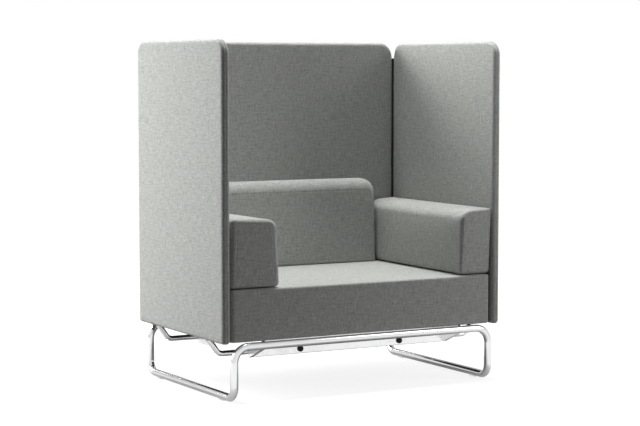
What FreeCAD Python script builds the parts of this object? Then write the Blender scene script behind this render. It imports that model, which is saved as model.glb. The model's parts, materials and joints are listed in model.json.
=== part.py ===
import FreeCAD, Part
import math
import os

V = FreeCAD.Vector
along_x = V(1, 0, 0)
along_y = V(0, 1, 0)
along_z = V(0, 0, 1)

# Acoustic high back lounge chair, in millimetres.
# X runs across the chair, -Y is the open front, +Z is up, and the floor is Z = 0.
# The origin is on the floor, in the middle of the chair's plan.

# How far cutting shapes run past what they cut
short_overrun = 1.0
long_overrun = 40.0

# Overall sizes of the hood of three padded panels
overall_width = 1250.0
overall_height = 1380.0
side_panel_depth = 785.0
panel_thickness = 30.0
panel_drop = 3.0
panel_top_corner = 58.0
panel_foot_corner = 14.0
panel_least_corner = 2.0
panel_edge_radius = 12.0
panel_corner_gap = 0.5
panel_core_thickness = 12.0
panel_core_margin = 12.0

# Upholstery
cover_thickness = 2.0
panel_cover_thickness = 1.5
side_gap = 5.0
soft_gap = 0.3

# Seat block
seat_rail_gap = 1.0
seat_block_height = 201.5
seat_front_setback = 12.5
seat_rear_gap = 5.0
seat_top_radius = 18.0
seat_upright_radius = 20.0
seat_board_thickness = 25.0
seat_board_height = 97.0
seat_skirt_foam = 8.0
seat_hem_width = 20.0
cloth_thickness = 1.0
cross_rail_height = 60.0
strap_width = 60.0
strap_thickness = 1.5
lengthwise_straps = 6
crosswise_straps = 4

# Arm blocks: the left one is the wide one
left_arm_base_width = 215.0
right_arm_base_width = 125.0
arm_side_taper = 15.0
arm_rise = 271.5
arm_top_fall = 8.0
arm_inner_radius = 40.0
arm_outer_radius = 8.0
arm_foot_radius = 10.0
arm_front_setback = 18.5
arm_front_lean = 12.0
arm_front_radius = 13.0
arm_board_thickness = 12.0
arm_side_foam = 32.0
arm_top_foam = 28.0
arm_front_foam = 22.0

# Back cushion
back_rise = 360.5
back_side_gap = 3.0
back_base_thickness = 96.0
back_top_thickness = 78.0
back_upper_corner = 55.0
back_rim_radius = 36.0
back_board_thickness = 12.0
back_board_margin = 30.0

# Bent tube frame with two floor loops
tube_diameter = 30.0
tube_wall = 2.0
loop_side_inset = 46.0
loop_end_inset = 5.5
rail_height = 215.0
top_bend = 60.0
foot_bend = 45.0
loop_stub = 30.0
spigot_length = 90.0
spigot_wall = 3.9
spigot_clearance = 0.1
glide_thickness = 3.0
glide_width = 18.0
glide_length = 44.0
glide_end_radius = 8.0
glide_clearance = 0.05
glide_from_bend = 60.0
glide_pin_radius = 3.0
glide_pin_height = 6.0

# Folded steel sub-frame under the seat
beam_from_loop = 131.0
beam_width = 16.0
beam_sheet = 2.5
beam_depth_below_rail = 63.0
beam_end_drop = 2.0
beam_saddle_depth = 2.0
plate_from_rail = 121.0
plate_sheet = 2.5
plate_flange = 26.0
plate_fold_radius = 2.25
plate_top_gap = 0.3
bar_diameter = 22.0
bar_wall = 2.0
bar_above_beam_bottom = 19.0
bar_from_plate = 34.0
bar_rise_angle = 54.0
bar_bend = 32.0
tongue_width = 30.0
tongue_thickness = 5.0
tongue_length = 160.0
tongue_clearance = 0.2

# Fasteners
bar_bolt_half_spacing = 228.0
bar_bolt_radius = 4.0
bar_bolt_head = 6.5
bar_bolt_head_height = 5.3
bar_bolt_tail = 12.0
bar_nut_thickness = 6.5
hole_clearance = 0.2
spacer_radius = 8.0
cap_radius = 12.0
cap_height = 9.0
cap_wall = 2.0
cap_dome_radius = 5.4
strip_width = 40.0
strip_thickness = 3.0
strip_foot_margin = 39.0
strip_rise = 137.5
strip_half_spacing = 200.0
strip_end_margin = 24.0
strip_bolt_radius = 3.0
strip_bolt_head = 6.0
strip_bolt_length = 28.0
profile_leg = 18.5
profile_sheet = 2.5
profile_end_margin = 66.0
profile_screws = 4
screw_radius = 1.8
screw_head = 3.4
screw_head_height = 1.6
screw_length = 20.0
seat_screw_half_spacing = 330.0
seat_screw_radius = 2.5
seat_screw_head = 5.5
seat_screw_head_height = 2.5
seat_screw_length = 30.0

# Heights worked out from those above, from the floor up
tube_radius = tube_diameter / 2
skid_height = glide_thickness + tube_radius
seat_bottom = rail_height + tube_radius + seat_rail_gap
seat_top = seat_bottom + seat_block_height
arm_top = seat_top + arm_rise
back_top = seat_top + back_rise
panel_bottom = seat_bottom - panel_drop
beam_bottom = rail_height - beam_depth_below_rail
beam_end_height = rail_height - tube_radius - beam_end_drop
bar_height = beam_bottom + bar_above_beam_bottom
steel_top = seat_bottom - plate_top_gap
strip_bottom = seat_bottom + strip_foot_margin
strip_top = seat_top + strip_rise

# Places worked out in plan
panel_outer = overall_width / 2
panel_inner = panel_outer - panel_thickness
panel_front = -side_panel_depth / 2
panel_rear = side_panel_depth / 2
rear_panel_front = panel_rear + panel_corner_gap
rear_panel_rear = rear_panel_front + panel_thickness
block_half_width = panel_inner - side_gap
seat_front = panel_front + seat_front_setback
seat_rear = rear_panel_front - seat_rear_gap
arm_bottom = seat_top + soft_gap
arm_front_foot = panel_front + arm_front_setback
board_bottom = seat_bottom + cover_thickness
board_top = board_bottom + seat_board_height
strap_level = board_top
foam_bottom = strap_level + 2 * strap_thickness + 2 * soft_gap
loop_half_width = panel_outer - loop_side_inset
loop_half_depth = side_panel_depth / 2 - loop_end_inset
loop_end = loop_half_width - top_bend - loop_stub
beam_half_spacing = loop_half_width - beam_from_loop
plate_half_spacing = loop_half_depth - plate_from_rail
bar_half_spacing = plate_half_spacing - bar_from_plate
bar_radius = bar_diameter / 2
bar_rise = math.radians(bar_rise_angle)
tongue_centre = panel_outer - panel_thickness / 2
bar_corner = tongue_centre - (panel_bottom - bar_height) / math.tan(bar_rise)
bar_end_level = panel_bottom - soft_gap

nodes = {}


def block(x0, x1, y0, y1, z0, z1):
    return Part.makeBox(x1 - x0, y1 - y0, z1 - z0, V(x0, y0, z0))


def rod(start, direction, radius, length):
    return Part.makeCylinder(radius, length, start, direction)


def fused(shapes):
    return shapes[0].multiFuse(shapes[1:]).removeSplitter()


def group(shapes):
    return Part.makeCompound(shapes)


def rounded_wire(corners, radii, closed):
    """A wire of straight runs and tangent arcs through 3-D corner points."""
    count = len(corners)
    edges = []
    last = None
    first = None
    for i in range(count):
        here = corners[i]
        radius = radii[i]
        if not closed and i in (0, count - 1):
            radius = 0.0
        before = (corners[i - 1] - here).normalize() if closed or i > 0 else None
        after = (corners[(i + 1) % count] - here).normalize() if closed or i < count - 1 else None
        if radius > 0:
            half = before.getAngle(after) / 2
            reach = radius / math.tan(half)
            start = here + before * reach
            end = here + after * reach
            inward = (before + after).normalize()
            middle = here + inward * (radius / math.sin(half) - radius)
        else:
            start = here
            end = here
        if last is not None and last.distanceToPoint(start) > 1e-6:
            edges.append(Part.LineSegment(last, start).toShape())
        if radius > 0:
            edges.append(Part.Arc(start, middle, end).toShape())
        if first is None:
            first = start
        last = end
    if closed and last.distanceToPoint(first) > 1e-6:
        edges.append(Part.LineSegment(last, first).toShape())
    return Part.Wire(edges)


def prism(corners, radii, direction):
    return Part.Face(rounded_wire(corners, radii, True)).extrude(direction)


def swept_rod(path, start, direction, radius):
    section = Part.Wire([Part.Edge(Part.Circle(start, direction, radius))])
    return path.makePipeShell([section], True, False)


def edges_on_plane(shape, point, normal):
    """The edges that lie wholly in one plane."""
    found = []
    for edge in shape.Edges:
        ends = [edge.valueAt(edge.FirstParameter), edge.valueAt(edge.LastParameter)]
        ends.append(edge.valueAt((edge.FirstParameter + edge.LastParameter) / 2))
        if all(abs((p - point).dot(normal)) < 1e-4 for p in ends):
            found.append(edge)
    return found


def uprights(shape):
    """The edges that stand along Z."""
    return [e for e in shape.Edges if abs(e.tangentAt(e.FirstParameter).z) > 0.9]


def mirrored_x(shape):
    return shape.mirror(V(0, 0, 0), along_x)


def mirrored_point(point):
    return V(-point.x, point.y, point.z)


def mirrored_y(shape):
    return shape.mirror(V(0, 0, 0), along_y)


def four_ways(shape):
    """The shape in all four quarters of the plan."""
    pair = [shape, mirrored_x(shape)]
    return pair + [mirrored_y(s) for s in pair]


def countersunk_bolt(tip, direction, play):
    """A flat headed bolt whose head ends flush at tip; play widens it for its hole."""
    head = Part.makeCone(strip_bolt_head + play, strip_bolt_radius + play, strip_thickness, tip, direction)
    return fused([head, rod(tip, direction, strip_bolt_radius + play, strip_bolt_length)])


# Bent steel tube frame

def bent_tube(corners, bends, radius, wall):
    path = rounded_wire(corners, bends, False)
    along = corners[1] - corners[0]
    outer = swept_rod(path, corners[0], along, radius)
    inner = swept_rod(path, corners[0], along, radius - wall)
    return outer.cut(inner)


def loop_corners(side):
    x = side * loop_half_width
    return [
        V(side * loop_end, -loop_half_depth, rail_height),
        V(x, -loop_half_depth, rail_height),
        V(x, -loop_half_depth, skid_height),
        V(x, loop_half_depth, skid_height),
        V(x, loop_half_depth, rail_height),
        V(side * loop_end, loop_half_depth, rail_height),
    ]


glide_reach = loop_half_depth - foot_bend - glide_from_bend
glide_hole = rod(V(0, 0, 0), along_z, glide_pin_radius + hole_clearance, skid_height)


def skid_loop(side):
    bends = [0, top_bend, foot_bend, foot_bend, top_bend, 0]
    loop = bent_tube(loop_corners(side), bends, tube_radius, tube_wall)
    for y in (-glide_reach, glide_reach):
        hole = glide_hole.copy()
        hole.translate(V(side * loop_half_width, y, 0))
        loop = loop.cut(hole)
    return loop


nodes["left_skid_loop"] = skid_loop(-1)
nodes["right_skid_loop"] = skid_loop(1)


def rail(y):
    start = V(-loop_end, y, rail_height)
    outer = rod(start, along_x, tube_radius, 2 * loop_end)
    return outer.cut(rod(start, along_x, tube_radius - tube_wall, 2 * loop_end))


nodes["front_rail_tube"] = rail(-loop_half_depth)
nodes["rear_rail_tube"] = rail(loop_half_depth)

spigot_start = V(loop_end - spigot_length + loop_stub, loop_half_depth, rail_height)
spigot_radius = tube_radius - tube_wall - spigot_clearance
spigot = rod(spigot_start, along_x, spigot_radius, spigot_length)
spigot = spigot.cut(rod(spigot_start, along_x, spigot_radius - spigot_wall, spigot_length))
nodes["tube_spigots"] = group(four_ways(spigot))


def glide(y):
    """A low plastic shoe that hugs the underside of the floor tube."""
    x0 = loop_half_width - glide_width / 2
    x1 = loop_half_width + glide_width / 2
    shoe = block(x0, x1, y - glide_length / 2, y + glide_length / 2, 0, skid_height)
    shoe = shoe.makeFillet(glide_end_radius, uprights(shoe))
    along = V(loop_half_width, y - glide_length, skid_height)
    shoe = shoe.cut(rod(along, along_y, tube_radius + glide_clearance, 2 * glide_length))
    lower = [s for s in shoe.Solids if s.BoundBox.ZMin < glide_thickness / 2][0]
    pin = rod(V(loop_half_width, y, glide_thickness / 2), along_z, glide_pin_radius, glide_pin_height)
    return fused([lower, pin])


nodes["skid_glides"] = group(four_ways(glide(glide_reach)))

# Support beams: narrow channels, open at the top, whose ends taper up to the rails

rail_back = loop_half_depth - tube_radius + beam_saddle_depth


def beam_side(inset, top):
    slope = math.atan2(beam_end_height - beam_bottom, rail_back - plate_half_spacing)
    rise = inset / math.cos(slope)
    knee = plate_half_spacing - inset * math.tan(slope / 2)
    return [
        V(0, -rail_back, top),
        V(0, -rail_back, beam_end_height + rise),
        V(0, -knee, beam_bottom + inset),
        V(0, knee, beam_bottom + inset),
        V(0, rail_back, beam_end_height + rise),
        V(0, rail_back, top),
    ]


def straight_prism(corners, direction):
    return prism(corners, [0] * len(corners), direction)


def support_beam(side):
    beam = straight_prism(beam_side(0, steel_top), V(beam_width, 0, 0))
    hollow_side = beam_side(beam_sheet, steel_top + short_overrun)
    hollow = straight_prism(hollow_side, V(beam_width - 2 * beam_sheet, 0, 0))
    hollow.translate(V(beam_sheet, 0, 0))
    beam = beam.cut(hollow)
    beam.translate(V(side * beam_half_spacing - beam_width / 2, 0, 0))
    for y in (-loop_half_depth, loop_half_depth):
        beam = beam.cut(rod(V(-overall_width / 2, y, rail_height), along_x, tube_radius, overall_width))
    for y in (-bar_half_spacing, bar_half_spacing):
        start = V(-overall_width / 2, y, bar_height)
        beam = beam.cut(rod(start, along_x, bar_radius + hole_clearance, overall_width))
    return beam


nodes["left_support_beam"] = support_beam(-1)
nodes["right_support_beam"] = support_beam(1)

# Cross plates: folded channels between the beams, with the black bolt caps on their faces

bolt_places = (-bar_bolt_half_spacing, bar_bolt_half_spacing)
plate_half_length = beam_half_spacing - beam_width / 2
plate_screw_y = plate_half_spacing - plate_flange / 2 - plate_sheet / 2
screw_places = [V(x, plate_screw_y, 0) for x in (-seat_screw_half_spacing, 0, seat_screw_half_spacing)]


def cross_plate():
    """The rear plate: its closed face looks away from the middle of the chair."""
    y_face = plate_half_spacing
    y_back = plate_half_spacing - plate_flange
    outer = block(-plate_half_length, plate_half_length, y_back, y_face, beam_bottom, steel_top)
    inner = block(-plate_half_length, plate_half_length, y_back, y_face - plate_sheet,
                  beam_bottom + plate_sheet, steel_top - plate_sheet)
    plate = outer.cut(inner)
    face_edges = edges_on_plane(plate, V(0, y_face, 0), along_y)
    folds = [e for e in face_edges if abs(e.tangentAt(e.FirstParameter).x) > 0.9]
    plate = plate.makeFillet(plate_fold_radius, folds)
    for x in bolt_places:
        hole = rod(V(x, y_back, bar_height), along_y, bar_bolt_radius + hole_clearance, 2 * plate_flange)
        plate = plate.cut(hole)
    for place in screw_places:
        hole = rod(place + V(0, 0, steel_top - 2 * plate_sheet), along_z,
                   seat_screw_radius + hole_clearance, 3 * plate_sheet)
        plate = plate.cut(hole)
    return plate


nodes["rear_cross_plate"] = cross_plate()
nodes["front_cross_plate"] = mirrored_y(cross_plate())

# Cross bars: tubes through both beams, bent up at the ends to carry the side panels


def cross_bar():
    y = bar_half_spacing
    end_z = bar_end_level + bar_diameter
    end_x = bar_corner + (end_z - bar_height) / math.tan(bar_rise)
    half = [V(bar_corner, y, bar_height), V(end_x, y, end_z)]
    corners = [mirrored_point(half[1]), mirrored_point(half[0])] + half
    bar = bent_tube(corners, [0, bar_bend, bar_bend, 0], bar_radius, bar_wall)
    trim = block(-overall_width, overall_width, 0, overall_width, bar_end_level, overall_height)
    bar = bar.cut(trim)
    for x in bolt_places:
        bar = bar.cut(rod(V(x, 0, bar_height), along_y, bar_bolt_radius + hole_clearance, overall_width))
    return bar


nodes["rear_cross_bar"] = cross_bar()
nodes["front_cross_bar"] = mirrored_y(cross_bar())

tongue = block(tongue_centre - tongue_thickness / 2, tongue_centre + tongue_thickness / 2,
               bar_half_spacing - tongue_width / 2, bar_half_spacing + tongue_width / 2,
               bar_end_level, bar_end_level + tongue_length)
nodes["panel_tongues"] = group(four_ways(tongue))

# Bolts, spacers, nuts and caps that tie each cross bar to its plate


def bar_spacer(x):
    y0 = bar_half_spacing
    y1 = plate_half_spacing - plate_sheet
    spacer = rod(V(x, y0, bar_height), along_y, spacer_radius, y1 - y0)
    spacer = spacer.cut(rod(V(x, y0, bar_height), along_y, bar_bolt_radius + hole_clearance, y1 - y0))
    bar_solid = rod(V(x - 2 * spacer_radius, y0, bar_height), along_x, bar_radius, 4 * spacer_radius)
    return spacer.cut(bar_solid)


def hexagon(centre, direction, across_half, thickness):
    """A hexagonal nut blank on an axis along Y."""
    corner = across_half / math.cos(math.pi / 6)
    angles = [math.radians(30 + 60 * i) for i in range(6)]
    points = [centre + V(corner * math.cos(a), 0, corner * math.sin(a)) for a in angles]
    return straight_prism(points, direction * thickness)


def bar_bolt(x):
    tail = bar_half_spacing - bar_radius - bar_bolt_tail
    head = hexagon(V(x, plate_half_spacing, bar_height), along_y, bar_bolt_head, bar_bolt_head_height)
    shank = rod(V(x, tail, bar_height), along_y, bar_bolt_radius, plate_half_spacing - tail)
    return fused([head, shank])


def bar_nut(x):
    seat = V(x, bar_half_spacing - bar_radius, bar_height)
    nut = hexagon(seat, -along_y, bar_bolt_head, bar_nut_thickness)
    return nut.cut(rod(V(x, 0, bar_height), along_y, bar_bolt_radius + hole_clearance / 2, overall_width))


def bolt_cap(x):
    """A domed black cap, hollow over the bolt's head."""
    face = V(x, plate_half_spacing, bar_height)
    dome = rod(face, along_y, cap_radius, cap_height)
    rim = edges_on_plane(dome, face + V(0, cap_height, 0), along_y)
    dome = dome.makeFillet(cap_dome_radius, rim)
    hollow = rod(face, along_y, cap_radius - cap_wall, cap_height - cap_wall)
    return dome.cut(hollow)


def both_bars(make):
    rear = [make(x) for x in bolt_places]
    return group(rear + [mirrored_y(s) for s in rear])


nodes["bar_spacers"] = both_bars(bar_spacer)
nodes["bar_bolts"] = both_bars(bar_bolt)
nodes["bar_nuts"] = both_bars(bar_nut)
nodes["bolt_caps"] = both_bars(bolt_cap)

# Steel strips and flat headed bolts that tie the arms and the back to the seat's frame

strip_levels = (strip_bottom + strip_end_margin, board_top - strip_end_margin,
                strip_top - 3 * strip_end_margin, strip_top - strip_end_margin)
side_strip_face = block_half_width + soft_gap + strip_thickness
rear_strip_face = seat_rear + soft_gap + strip_thickness
back_left = -block_half_width + left_arm_base_width + back_side_gap
back_right = block_half_width - right_arm_base_width - back_side_gap
back_middle = (back_left + back_right) / 2


def side_bolts(side, play):
    bolts = []
    for y in (-strip_half_spacing, strip_half_spacing):
        for z in strip_levels:
            bolts.append(countersunk_bolt(V(side * side_strip_face, y, z), V(-side, 0, 0), play))
    return bolts


def rear_bolts(play):
    bolts = []
    for x in (back_middle - strip_half_spacing, back_middle + strip_half_spacing):
        for z in strip_levels:
            bolts.append(countersunk_bolt(V(x, rear_strip_face, z), -along_y, play))
    return bolts


def drilled(shape, tools):
    for tool in tools:
        shape = shape.cut(tool)
    return shape


side_holes = {side: side_bolts(side, hole_clearance) for side in (-1, 1)}
rear_holes = rear_bolts(hole_clearance)


def side_strips(side):
    strips = []
    x = side * (side_strip_face - strip_thickness / 2)
    for y in (-strip_half_spacing, strip_half_spacing):
        strip = block(x - strip_thickness / 2, x + strip_thickness / 2,
                      y - strip_width / 2, y + strip_width / 2, strip_bottom, strip_top)
        strips.append(drilled(strip, side_holes[side]))
    return strips


def rear_strips():
    strips = []
    for x in (back_middle - strip_half_spacing, back_middle + strip_half_spacing):
        strip = block(x - strip_width / 2, x + strip_width / 2,
                      rear_strip_face - strip_thickness, rear_strip_face, strip_bottom, strip_top)
        strips.append(drilled(strip, rear_holes))
    return strips


nodes["arm_mounting_strips"] = group(side_strips(-1) + side_strips(1))
nodes["arm_strip_bolts"] = group(side_bolts(-1, 0) + side_bolts(1, 0))
nodes["back_mounting_strips"] = group(rear_strips())
nodes["back_strip_bolts"] = group(rear_bolts(0))

# Seat block: boards, straps, foam, cover and the cloth underneath


def seat_body(inset):
    body = block(-block_half_width + inset, block_half_width - inset,
                 seat_front + inset, seat_rear - inset, seat_bottom + inset, seat_top - inset)
    body = body.makeFillet(seat_upright_radius - inset, uprights(body))
    top_rim = edges_on_plane(body, V(0, 0, seat_top - inset), along_z)
    return body.makeFillet(seat_top_radius - inset, top_rim)


frame_half_width = block_half_width - cover_thickness - seat_skirt_foam
frame_front = seat_front + cover_thickness + seat_skirt_foam
frame_rear = seat_rear - cover_thickness - seat_skirt_foam
frame_envelope = block(-frame_half_width, frame_half_width, frame_front, frame_rear,
                       seat_bottom, foam_bottom)
hem_opening = block(-block_half_width + seat_hem_width, block_half_width - seat_hem_width,
                    seat_front + seat_hem_width, seat_rear - seat_hem_width,
                    seat_bottom, seat_bottom + cover_thickness)
all_side_holes = side_holes[-1] + side_holes[1]

seat_cover = seat_body(0).cut(seat_body(cover_thickness)).cut(hem_opening)
nodes["seat_cover"] = drilled(seat_cover, all_side_holes + rear_holes)
seat_foam = seat_body(cover_thickness).cut(frame_envelope)
nodes["seat_foam"] = drilled(seat_foam, all_side_holes + rear_holes)
cloth_inset = seat_hem_width + soft_gap / 3
bottom_cloth = block(-block_half_width + cloth_inset, block_half_width - cloth_inset,
                     seat_front + cloth_inset, seat_rear - cloth_inset,
                     seat_bottom, seat_bottom + cloth_thickness)

inner_half_width = frame_half_width - seat_board_thickness
front_board = block(-frame_half_width, frame_half_width, frame_front, frame_front + seat_board_thickness,
                    board_bottom, board_top)
nodes["seat_front_board"] = front_board
rear_board = block(-frame_half_width, frame_half_width, frame_rear - seat_board_thickness, frame_rear,
                   board_bottom, board_top)
nodes["seat_rear_board"] = drilled(rear_board, rear_holes)
side_boards = []
for side in (-1, 1):
    x0, x1 = sorted((side * inner_half_width, side * frame_half_width))
    board = block(x0, x1, frame_front + seat_board_thickness, frame_rear - seat_board_thickness,
                  board_bottom, board_top)
    side_boards.append(drilled(board, side_holes[side]))
nodes["seat_side_boards"] = group(side_boards)

def seat_screw(place, play):
    """A screw from under the plate's top flange up into the cross rail."""
    start = place + V(0, 0, steel_top - plate_sheet - seat_screw_head_height)
    head = rod(start, along_z, seat_screw_head + play, seat_screw_head_height)
    return fused([head, rod(start, along_z, seat_screw_radius + play, seat_screw_length)])


rear_screws = [seat_screw(p, 0) for p in screw_places]
nodes["seat_screws"] = group(rear_screws + [mirrored_y(s) for s in rear_screws])
screw_holes = [seat_screw(p, hole_clearance / 2) for p in screw_places]
nodes["seat_bottom_cloth"] = drilled(bottom_cloth, screw_holes + [mirrored_y(s) for s in screw_holes])
rear_cross_rail = block(-inner_half_width, inner_half_width,
                        plate_screw_y - seat_board_thickness / 2, plate_screw_y + seat_board_thickness / 2,
                        seat_bottom + cloth_thickness, seat_bottom + cloth_thickness + cross_rail_height)
rear_cross_rail = drilled(rear_cross_rail, screw_holes)
nodes["seat_cross_rails"] = group([rear_cross_rail, mirrored_y(rear_cross_rail)])


def strap_centres(first, last, count):
    step = (last - first) / count
    return [first + step * (i + 0.5) for i in range(count)]


strap_solids = []
for x in strap_centres(-inner_half_width, inner_half_width, lengthwise_straps):
    strap_solids.append(block(x - strap_width / 2, x + strap_width / 2, frame_front, frame_rear,
                              strap_level, strap_level + strap_thickness))
crosswise_level = strap_level + strap_thickness + soft_gap / 2
for y in strap_centres(frame_front, frame_rear, crosswise_straps):
    strap_solids.append(block(-frame_half_width, frame_half_width, y - strap_width / 2, y + strap_width / 2,
                              crosswise_level, crosswise_level + strap_thickness))
nodes["seat_straps"] = group(strap_solids)

# Arm blocks


def arm_body(side, base_width, inset):
    """A block with a sloping inner side, a big round on its inner top edge and a leaning front."""
    outer_x = side * (block_half_width - inset)
    foot_x = side * (block_half_width - base_width + inset)
    brow_x = side * (block_half_width - base_width + arm_side_taper + inset)
    foot = arm_bottom + inset
    crown = arm_top - inset
    brow = arm_top - arm_top_fall - inset
    rear = seat_rear - inset
    start = arm_front_foot - arm_front_lean - long_overrun
    corners = [V(outer_x, start, foot), V(foot_x, start, foot),
               V(brow_x, start, brow), V(outer_x, start, crown)]
    rounds = (arm_outer_radius, arm_foot_radius, arm_inner_radius, arm_outer_radius)
    radii = [radius - inset for radius in rounds]
    body = prism(corners, radii, V(0, rear - start, 0))
    front_foot = V(0, arm_front_foot + inset, foot)
    front_head = V(0, arm_front_foot - arm_front_lean + inset, crown)
    lean = front_head - front_foot
    below = front_foot - lean
    above = front_head + lean
    ahead = start - long_overrun
    wedge = straight_prism([V(-overall_width, below.y, below.z), V(-overall_width, above.y, above.z),
                            V(-overall_width, ahead, above.z), V(-overall_width, ahead, below.z)],
                           V(2 * overall_width, 0, 0))
    body = body.cut(wedge)
    normal = V(0, lean.z, -lean.y).normalize()
    return body.makeFillet(arm_front_radius - inset, edges_on_plane(body, front_foot, normal))


def arm_parts(side, base_width):
    body = arm_body(side, base_width, cover_thickness)
    cover = arm_body(side, base_width, 0).cut(body)
    far = block_half_width - cover_thickness
    near = block_half_width - base_width + arm_side_taper + arm_side_foam
    y0 = arm_front_foot + arm_front_foam
    y1 = seat_rear - cover_thickness
    z0 = arm_bottom + arm_outer_radius
    z1 = arm_top - arm_top_fall - arm_top_foam
    wall = arm_board_thickness

    def board(a, b, y_low, y_high, z_low, z_high):
        x0, x1 = sorted((side * a, side * b))
        return block(x0, x1, y_low, y_high, z_low, z_high)

    foam = body.cut(board(near, far, y0, y1, z0, z1))
    boards = [
        drilled(board(far - wall, far, y0, y1, z0, z1), side_holes[side]),
        drilled(board(near, near + wall, y0, y1, z0, z1), side_holes[side]),
        board(near + wall, far - wall, y0, y0 + wall, z0, z1),
        board(near + wall, far - wall, y1 - wall, y1, z0, z1),
        board(near + wall, far - wall, y0 + wall, y1 - wall, z1 - wall, z1),
    ]
    return drilled(cover, side_holes[side]), drilled(foam, side_holes[side]), group(boards)


arms = {"left": (-1, left_arm_base_width), "right": (1, right_arm_base_width)}
for name, (side, base_width) in arms.items():
    cover, foam, boards = arm_parts(side, base_width)
    nodes[name + "_arm_cover"] = cover
    nodes[name + "_arm_foam"] = foam
    nodes[name + "_arm_boards"] = boards

# Back cushion: leaning front, large upper corners and a soft front rim


def back_body(inset):
    foot = seat_top + soft_gap + inset
    head = back_top - inset
    left = back_left + inset
    right = back_right - inset
    rear = seat_rear - inset
    depth = back_base_thickness + long_overrun
    corners = [V(left, rear, foot), V(right, rear, foot), V(right, rear, head), V(left, rear, head)]
    upper = back_upper_corner - inset
    body = prism(corners, [0, 0, upper, upper], V(0, -depth, 0))
    front_foot = V(0, seat_rear - back_base_thickness + inset, foot)
    front_head = V(0, seat_rear - back_top_thickness + inset, head)
    lean = front_head - front_foot
    below = front_foot - lean
    above = front_head + lean
    ahead = rear - 2 * depth
    wedge = straight_prism([V(-overall_width, below.y, below.z), V(-overall_width, above.y, above.z),
                            V(-overall_width, ahead, above.z), V(-overall_width, ahead, below.z)],
                           V(2 * overall_width, 0, 0))
    body = body.cut(wedge)
    normal = V(0, lean.z, -lean.y).normalize()
    rim = [e for e in edges_on_plane(body, front_foot, normal) if e.CenterOfMass.z > foot + short_overrun]
    return body.makeFillet(back_rim_radius - inset, rim)


back_inner = back_body(cover_thickness)
nodes["back_cover"] = drilled(back_body(0).cut(back_inner), rear_holes)
board_rear = seat_rear - cover_thickness
margin = back_board_margin
board_outline = [V(back_left + margin, board_rear, seat_top + margin),
                 V(back_right - margin, board_rear, seat_top + margin),
                 V(back_right - margin, board_rear, back_top - margin),
                 V(back_left + margin, board_rear, back_top - margin)]
corner = back_upper_corner - margin
back_board = prism(board_outline, [0, 0, corner, corner], V(0, -back_board_thickness, 0))
nodes["back_foam"] = drilled(back_inner.cut(back_board), rear_holes)
nodes["back_board"] = drilled(back_board, rear_holes)

# Padded panels: a board in the middle, foam all round it and a fabric cover


def panel_blank(length, inset, corner_inset):
    """One panel lying in the YZ plane at X = 0, with its face outline inset all round."""
    half = length / 2 - inset
    foot = panel_bottom + inset
    head = overall_height - inset
    thickness = panel_thickness - 2 * corner_inset
    x = -thickness / 2
    corners = [V(x, -half, foot), V(x, half, foot), V(x, half, head), V(x, -half, head)]
    low = max(panel_foot_corner - inset, panel_least_corner)
    high = panel_top_corner - inset
    return prism(corners, [low, low, high, high], V(thickness, 0, 0))


def soft_panel(length, inset):
    blank = panel_blank(length, inset, inset)
    half = panel_thickness / 2 - inset
    rims = edges_on_plane(blank, V(half, 0, 0), along_x) + edges_on_plane(blank, V(-half, 0, 0), along_x)
    return blank.makeFillet(panel_edge_radius - inset, rims)


def panel_parts(length, slots):
    outer = soft_panel(length, 0)
    inner = soft_panel(length, panel_cover_thickness)
    core = panel_blank(length, panel_core_margin, (panel_thickness - panel_core_thickness) / 2)
    cover = drilled(outer.cut(inner), slots)
    foam = drilled(inner.cut(core), slots)
    return cover, foam, drilled(core, slots)


def tongue_slot(y):
    half_x = tongue_thickness / 2 + tongue_clearance
    half_y = tongue_width / 2 + tongue_clearance
    top = bar_end_level + tongue_length + tongue_clearance
    return block(-half_x, half_x, y - half_y, y + half_y, panel_bottom - short_overrun, top)


tongue_slots = [tongue_slot(-bar_half_spacing), tongue_slot(bar_half_spacing)]

profile_bottom = panel_bottom + profile_end_margin / 2
profile_top = overall_height - profile_end_margin
screw_step = (profile_top - profile_bottom) / profile_screws
screw_levels = [profile_bottom + screw_step * (i + 0.5) for i in range(profile_screws)]


def pan_screw(seat, direction, play):
    """A small screw whose head stands on the sheet at seat and whose shank goes along direction."""
    head = rod(seat - direction * screw_head_height, direction, screw_head + play, screw_head_height)
    shank = rod(seat, direction, screw_radius + play, screw_length)
    return fused([head, shank])


profile_seat_y = panel_rear + soft_gap + profile_sheet
profile_seat_x = panel_inner + soft_gap + profile_sheet
side_leg_middle = panel_outer - panel_thickness / 2
rear_leg_middle = rear_panel_front + panel_thickness / 2


def corner_screws(side, play):
    screws = []
    for z in screw_levels:
        side_seat = V(side * side_leg_middle, profile_seat_y, z)
        rear_seat = V(side * profile_seat_x, rear_leg_middle, z + 3 * screw_head)
        screws.append(pan_screw(side_seat, -along_y, play))
        screws.append(pan_screw(rear_seat, V(-side, 0, 0), play))
    return screws


def corner_profile(side):
    """A dark steel angle in the open outer corner, which joins a side panel to the rear panel."""
    corner = V(panel_inner + soft_gap, panel_rear + soft_gap, profile_bottom)
    steps = [V(0, 0, 0), V(profile_leg, 0, 0), V(profile_leg, profile_sheet, 0),
             V(profile_sheet, profile_sheet, 0), V(profile_sheet, profile_leg, 0), V(0, profile_leg, 0)]
    angle = straight_prism([corner + step for step in steps], V(0, 0, profile_top - profile_bottom))
    if side < 0:
        angle = mirrored_x(angle)
    return drilled(angle, corner_screws(side, hole_clearance / 2))


nodes["left_corner_profile"] = corner_profile(-1)
nodes["right_corner_profile"] = corner_profile(1)
nodes["corner_screws"] = group(corner_screws(-1, 0) + corner_screws(1, 0))

pieces = ("cover", "foam", "core")
for name, side in (("left", -1), ("right", 1)):
    holes = corner_screws(side, hole_clearance / 2)
    for piece, shape in zip(pieces, panel_parts(side_panel_depth, tongue_slots)):
        shape.translate(V(side * (panel_outer - panel_thickness / 2), 0, 0))
        nodes[name + "_panel_" + piece] = drilled(shape, holes)

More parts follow.
